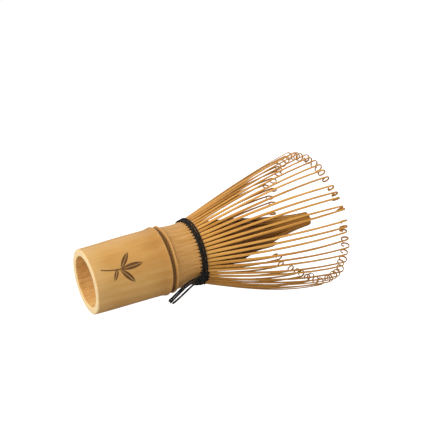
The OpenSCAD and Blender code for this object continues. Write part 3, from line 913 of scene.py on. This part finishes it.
# ------------------------------------------------------------------ thread
def rope(pile, P, d, closed=False, pitch=1.9, seed=0.0, plies=3, sides=21, taper=None):
    """Twisted thread laid along P."""
    T, A, B = transport(P, closed)
    seg = np.linalg.norm(np.diff(P, axis=0, append=P[:1] if closed else P[-1:]), axis=1)
    run = np.concatenate([[0], np.cumsum(seg)[:-1]])
    length = run[-1] + (seg[-1] if closed else 0)
    spin = TAU * run / pitch
    if closed:
        # close the frame's drift and make the twist meet itself
        a_end = A[-1] - T[0] * (A[-1] @ T[0])
        drift = math.atan2(a_end @ B[0], a_end @ A[0])
        turns = round(length / pitch * plies) / plies
        spin = TAU * turns * run / length - drift * run / length
    th = np.arange(sides) / sides * TAU
    lobes = 1 + 0.15 * np.cos(plies * (th[None] - spin[:, None])) - 0.03 * np.cos(2 * plies * (th[None] - spin[:, None]))
    r = np.random.default_rng(int(seed * 1000) + 17)
    slub = 1 + 0.035 * np.sin(run * 0.9 + r.uniform(0, 6)) + 0.025 * np.sin(run * 2.3 + r.uniform(0, 6))
    rad = d / 2 / 1.12 * slub
    if taper is not None:
        rad = rad * taper(run / length)
    S = np.stack([np.cos(th)[None] * lobes, np.sin(th)[None] * lobes], -1)
    V, F, caps = sweep(P, A, B, S, rad, rad, closed)
    n = len(P)
    across = np.tile(th / TAU * plies, n) - np.repeat(spin / TAU * plies, sides)
    runs = np.repeat(run, sides)
    if not closed:
        across = np.concatenate([across, across[:sides], across[-sides:]])
        runs = np.concatenate([runs, runs[:sides], runs[-sides:]])
    pile.add(V, F, caps, across=across, run=runs, seed=seed * 9.0)


def fuzz(pile, P, d, count, seed, reach=0.55):
    """Loose fibres standing off the thread."""
    r = np.random.default_rng(seed)
    T, A, B = transport(P)
    for _ in range(count):
        i = r.integers(2, len(P) - 2)
        th = r.uniform(0, TAU)
        out = A[i] * math.cos(th) + B[i] * math.sin(th)
        side = unit(T[i] * r.normal() + out * r.uniform(0.2, 1.1) + np.cross(T[i], out) * r.normal() * 0.8)
        L = reach * r.uniform(0.35, 1.0)
        t = np.linspace(0, 1, 5)[:, None]
        bend = unit(r.normal(size=3)) * L * 0.35
        Q = P[i] + out * d * 0.40 + side * L * t + bend * t**2
        _, a, b = transport(Q)
        th3 = np.arange(3) / 3 * TAU
        S = np.stack([np.cos(th3), np.sin(th3)], -1)
        rad = 0.013 * (1 - 0.6 * t[:, 0])
        V, F, caps = sweep(Q, a, b, S, rad, rad)
        pile.add(V, F, caps, across=0.5, run=0.0, seed=r.uniform())


def lay_r(z):
    """Outside of the tine roots."""
    return neck_r(z)


def build_thread():
    n = 900
    phi = np.arange(n) / n * TAU
    for t in range(3):
        r = np.random.default_rng(70 + t)
        z = THREAD_Z + t * THREAD_RISE
        pile = Pile()
        # the turn sinks a little between tines and rides over each one
        beat = np.cos(TINES * (phi + PITCH))
        rad = lay_r(z) + THREAD_D / 2 + 0.05 + 0.06 * beat
        wob = Ripple(80 + t, 6, (2, 11), (0, 0.01), 0.5)(phi, 0)
        rise = 0.045 * wob + 0.03 * np.cos(TINES / 2 * phi + t * math.pi)
        P = cyl(rad, phi, z + rise)
        rope(pile, P, THREAD_D * 0.98, closed=True, pitch=2.2, seed=0.1 + 0.2 * t)
        fuzz(pile, P, THREAD_D, 170, 20 + t, 0.42)
        if t == 0:
            # the crossings that pull the turn in between the tines
            for k in range(TINES):
                a = (k - 0.5) * PITCH + 0.004 * r.normal()
                low = THREAD_Z - 0.62 + 0.10 * r.normal()
                path = smooth_path([
                    cyl(lay_r(47.0) + 0.55, a + 0.016, THREAD_Z + 0.30),
                    cyl(lay_r(46.6) + 0.42, a + 0.006, THREAD_Z - 0.18),
                    cyl(lay_r(46.2) + 0.16, a, low + 0.05),
                    cyl(lay_r(46.0) - 0.32, a - 0.002, low - 0.12),
                ], 0.06)
                rope(pile, path, 0.44 + 0.05 * r.uniform(), pitch=1.3, seed=r.uniform(), plies=2, sides=12)
        obj = pile.build(f"thread_turn_{t + 1}_twist", THREAD)
        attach(obj, "whisk")
        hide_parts(f"thread_turn_{t + 1}")
    for t in range(2):
        z = THREAD_Z + 0.2 + 1.1 * t
        pile = Pile()
        rad = 13.6 - 0.72 - THREAD_D / 2 + 0.1 * (t + 1) + 0.05 * np.cos(TINES * phi)
        rope(pile, cyl(rad, phi, z), THREAD_D, closed=True, pitch=2.2, seed=0.7 + 0.1 * t)
        obj = pile.build(f"thread_back_turn_{t + 1}_twist", THREAD)
        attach(obj, "whisk")
        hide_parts(f"thread_back_turn_{t + 1}")


def around(points):
    """[radius, angle in degrees, height] to x, y, z."""
    p = np.asarray(points, float)
    return cyl(p[:, 0], np.radians(p[:, 1]), p[:, 2])


def build_knot():
    pile = Pile()
    # three wraps over the band, side by side
    for i, a in enumerate((82.5, 86.5, 90.5, 95.0, 99.5)):
        t = np.linspace(-0.15, 1.12, 60) * math.pi
        r0 = lay_r(47.4) + 0.62
        rr = r0 + 0.98 * np.sin(t) - 0.25
        z = 47.35 - (1.75 + 0.15 * i) * np.cos(t)
        P = cyl(rr, np.radians(a + 2.2 * np.cos(t) * (1 if i % 2 else -1)), z)
        rope(pile, P, THREAD_D, pitch=2.0, seed=0.31 + 0.1 * i)
    # a tight overhand knot lying on them
    t = np.linspace(0, TAU, 220, endpoint=False)
    s = 0.62
    x = s * (np.sin(t) + 2 * np.sin(2 * t))
    y = s * (np.cos(t) - 2 * np.cos(2 * t))
    w = -s * np.sin(3 * t) * 0.75
    ca = math.radians(97)
    er, et = np.array([math.cos(ca), math.sin(ca), 0]), np.array([-math.sin(ca), math.cos(ca), 0])
    mid = er * (lay_r(46.6) + 1.75) + np.array([0, 0, 46.2])
    P = mid + et * x[:, None] * 0.95 + np.array([0, 0, 1.0]) * y[:, None] * 0.95 + er * w[:, None]
    rope(pile, P, THREAD_D, closed=True, pitch=2.0, seed=0.77)
    fuzz(pile, P, THREAD_D, 40, 44, 0.5)
    # the hitches round the loose ends where they leave the knot
    q = np.linspace(0, TAU, 72, endpoint=False)
    for j, (r0, a, z, size) in enumerate(((15.75, 88.5, 46.1, 1.18), (15.95, 87.2, 45.3, 1.22), (16.0, 86.6, 44.5, 1.12), (15.9, 94.5, 45.6, 1.05))):
        a = math.radians(a)
        er, et = np.array([math.cos(a), math.sin(a), 0]), np.array([-math.sin(a), math.cos(a), 0])
        lean = (0.25, -0.15, 0.2, 0.9)[j]
        P = cyl(r0, a, z) + er * (np.cos(q) * size)[:, None] + et * (np.sin(q) * size)[:, None] + np.array([0, 0, 1.0]) * (np.sin(q + 0.6) * lean * size)[:, None]
        rope(pile, P, THREAD_D, closed=True, pitch=2.0, seed=0.52 + 0.07 * j)
        fuzz(pile, P, THREAD_D, 14, 90 + j, 0.45)
    obj = pile.build("thread_knot_twist", THREAD)
    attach(obj, "whisk")
    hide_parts("thread_knot")


TAILS = (
    [[15.3, 86.5, 47.0], [15.7, 85.2, 45.6], [16.0, 86.0, 43.8], [16.0, 88.5, 40.9], [16.2, 92.8, 38.3], [16.6, 99.9, 35.9], [17.2, 107.5, 34.0], [17.8, 113.5, 32.5], [18.2, 117.5, 31.9]],
    [[15.4, 91.0, 47.2], [15.9, 88.6, 45.9], [16.4, 88.2, 43.8], [16.7, 91.2, 41.0], [17.0, 97.0, 38.8], [17.4, 104.0, 36.9], [17.9, 112.0, 35.2], [18.4, 117.5, 33.9], [18.7, 121.0, 33.2]],
    [[15.1, 82.5, 46.8], [15.3, 82.0, 45.3], [15.5, 83.4, 43.3], [15.4, 86.8, 40.0], [15.7, 91.7, 37.5], [16.1, 98.2, 35.4], [16.6, 105.2, 33.5], [17.1, 110.0, 32.1], [17.7, 112.5, 31.0], [18.1, 113.4, 31.9]],
)


def build_tails():
    for i, pts in enumerate(TAILS):
        r = np.random.default_rng(300 + i)
        P = smooth_path(around(pts), 0.10)
        pile = Pile()
        rope(pile, P, THREAD_D * 1.16, pitch=2.1, seed=0.41 + 0.17 * i)
        fuzz(pile, P, THREAD_D, 60, 60 + i, 0.5)
        # cut end, its plies a little open
        T, A, B = transport(P)
        for j in range(26):
            th = r.uniform(0, TAU)
            out = A[-1] * math.cos(th) + B[-1] * math.sin(th)
            q = r.uniform(0, 0.30)
            L = r.uniform(0.25, 0.95)
            t = np.linspace(0, 1, 5)[:, None]
            Q = P[-1] - T[-1] * 0.15 + out * q + (T[-1] * L + out * L * r.uniform(0.0, 0.42)) * t + unit(r.normal(size=3)) * L * 0.14 * t**2
            _, a, b = transport(Q)
            th4 = np.arange(4) / 4 * TAU
            S = np.stack([np.cos(th4), np.sin(th4)], -1)
            rad = np.linspace(0.045, 0.018, 5)
            V, F, caps = sweep(Q, a, b, S, rad, rad)
            pile.add(V, F, caps, across=0.5, run=0.0, seed=r.uniform())
        obj = pile.build(f"thread_tail_{i + 1}_twist", THREAD)
        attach(obj, "whisk")
        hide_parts(f"thread_tail_{i + 1}")


build_thread()
build_knot()
build_tails()


# ------------------------------------------------------------------ diaphragm
def build_diaphragm():
    n, rings = 180, 26
    phi = np.arange(n) / n * TAU
    rr = np.linspace(0.02, BORE_R + 0.1, rings)
    soft = Ripple(41, 16, (1, 24), (0.05, 0.9), 0.6)
    low, high = [], []
    for r in rr:
        w = 0.10 * soft(phi, r * 2.2) * min(1, r / 3)
        dish = 0.5 * (1 - (r / BORE_R) ** 2)
        low.append(cyl(np.full(n, r), phi, NODE_Z - 0.86 + dish + w))
        high.append(cyl(np.full(n, r), phi, NODE_Z + 0.90 + dish * 1.3 + w * 1.2))
    V = np.concatenate([np.array(low)[::-1].reshape(-1, 3)[::-1].reshape(rings, n, 3)[:, ::-1], np.array(high)[::-1]])
    V = np.concatenate([np.array(low), np.array(high)[::-1]]).reshape(-1, 3)
    faces = ring_faces(2 * rings, n).tolist()
    faces.append(list(range(n))[::-1])
    faces.append(list(range((2 * rings - 1) * n, 2 * rings * n)))
    vals = {"bore": np.ones(len(V)), "groove": np.zeros(len(V)), "crest_highlight": np.zeros(len(V)), "endgrain": np.zeros(len(V))}
    obj = add_mesh("node_diaphragm_skin", V, [f[::-1] for f in faces], CULM, vals)
    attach(obj, "whisk")
    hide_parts("node_diaphragm")


build_diaphragm()


# ------------------------------------------------------------------ set
UP = Vector((0.81857, -0.55342, 0.15382)).normalized()
RIGHT = Vector((0.14325, 0.45602, 0.87837))
CAM_UP = Vector((0.68571, -0.68571, 0.24416))
BACK = Vector((0.71364, 0.56732, -0.41092))
CAM = Vector((0.31345, 0.23947, -0.11137))


def lowest():
    """How far down the whisk reaches, along UP."""
    low = 1e9
    u = np.array(UP)
    for o in scene.objects:
        if o.type == "MESH" and ("skin" in o.name or "split" in o.name):
            co = np.empty(len(o.data.vertices) * 3, np.float32)
            o.data.vertices.foreach_get("co", co)
            low = min(low, float((co.reshape(-1, 3) @ u).min()))
    return low


def build_set():
    d = lowest() - 0.0004
    half = 3.0
    side = RIGHT - UP * RIGHT.dot(UP)
    side.normalize()
    other = UP.cross(side)
    mid = UP * d + Vector((0, 0, 0.05))
    mid = mid - UP * (mid.dot(UP) - d)
    me = bpy.data.meshes.new("studio_floor")
    corners = [mid + side * half * a + other * half * b for a, b in ((-1, -1), (1, -1), (1, 1), (-1, 1))]
    me.from_pydata([tuple(c) for c in corners], [], [(0, 1, 2, 3)])
    me.update()
    if me.polygons[0].normal.dot(UP) < 0:
        me.flip_normals()
    me.materials.append(floor_material())
    floor = bpy.data.objects.new("studio_floor", me)
    scene.collection.objects.link(floor)

    def area(name, where, aim, size, watts, colour=(1, 1, 1)):
        light = bpy.data.lights.new(name, "AREA")
        light.shape = "DISK"
        light.size = size
        light.energy = watts
        light.color = colour
        o = bpy.data.objects.new(name, light)
        o.location = where
        o.rotation_euler = (aim - where).to_track_quat("-Z", "Y").to_euler()
        scene.collection.objects.link(o)

    centre = Vector((0, 0, 0.055))
    area("key", centre + UP * 0.52 - RIGHT * 0.48 + BACK * 0.30, centre, 0.5, 3.0)
    area("front", centre + BACK * 0.75 - RIGHT * 0.50 - UP * 0.02, centre - Vector((0, 0, 0.03)), 0.7, 3.6)
    area("fill", centre + UP * 0.35 + RIGHT * 0.55 + BACK * 0.35, centre, 0.6, 0.6)
    area("rim", centre + UP * 0.5 - BACK * 0.5, centre, 0.5, 0.5)

    world = bpy.data.worlds.new("white room")
    scene.world = world
    world.use_nodes = True
    nt = world.node_tree
    sky = nt.nodes["Background"]
    sky.inputs[0].default_value = (1, 1, 1, 1)
    path = nt.nodes.new("ShaderNodeLightPath")
    level = nt.nodes.new("ShaderNodeMath")
    level.operation = "MULTIPLY_ADD"
    level.inputs[1].default_value = 0.55
    level.inputs[2].default_value = 0.47
    nt.links.new(path.outputs["Is Camera Ray"], level.inputs[0])
    nt.links.new(level.outputs[0], sky.inputs[1])

    cam = bpy.data.cameras.new("camera")
    cam.sensor_width = 36.0
    cam.lens = 36.0 * 1000 / 448
    cam.clip_start, cam.clip_end = 0.01, 50
    o = bpy.data.objects.new("camera", cam)
    scene.collection.objects.link(o)
    o.matrix_world = Matrix((
        (RIGHT.x, CAM_UP.x, BACK.x, CAM.x),
        (RIGHT.y, CAM_UP.y, BACK.y, CAM.y),
        (RIGHT.z, CAM_UP.z, BACK.z, CAM.z),
        (0, 0, 0, 1),
    ))
    scene.camera = o
    scene.view_settings.view_transform = "Standard"
    scene.view_settings.look = "None"


build_set()
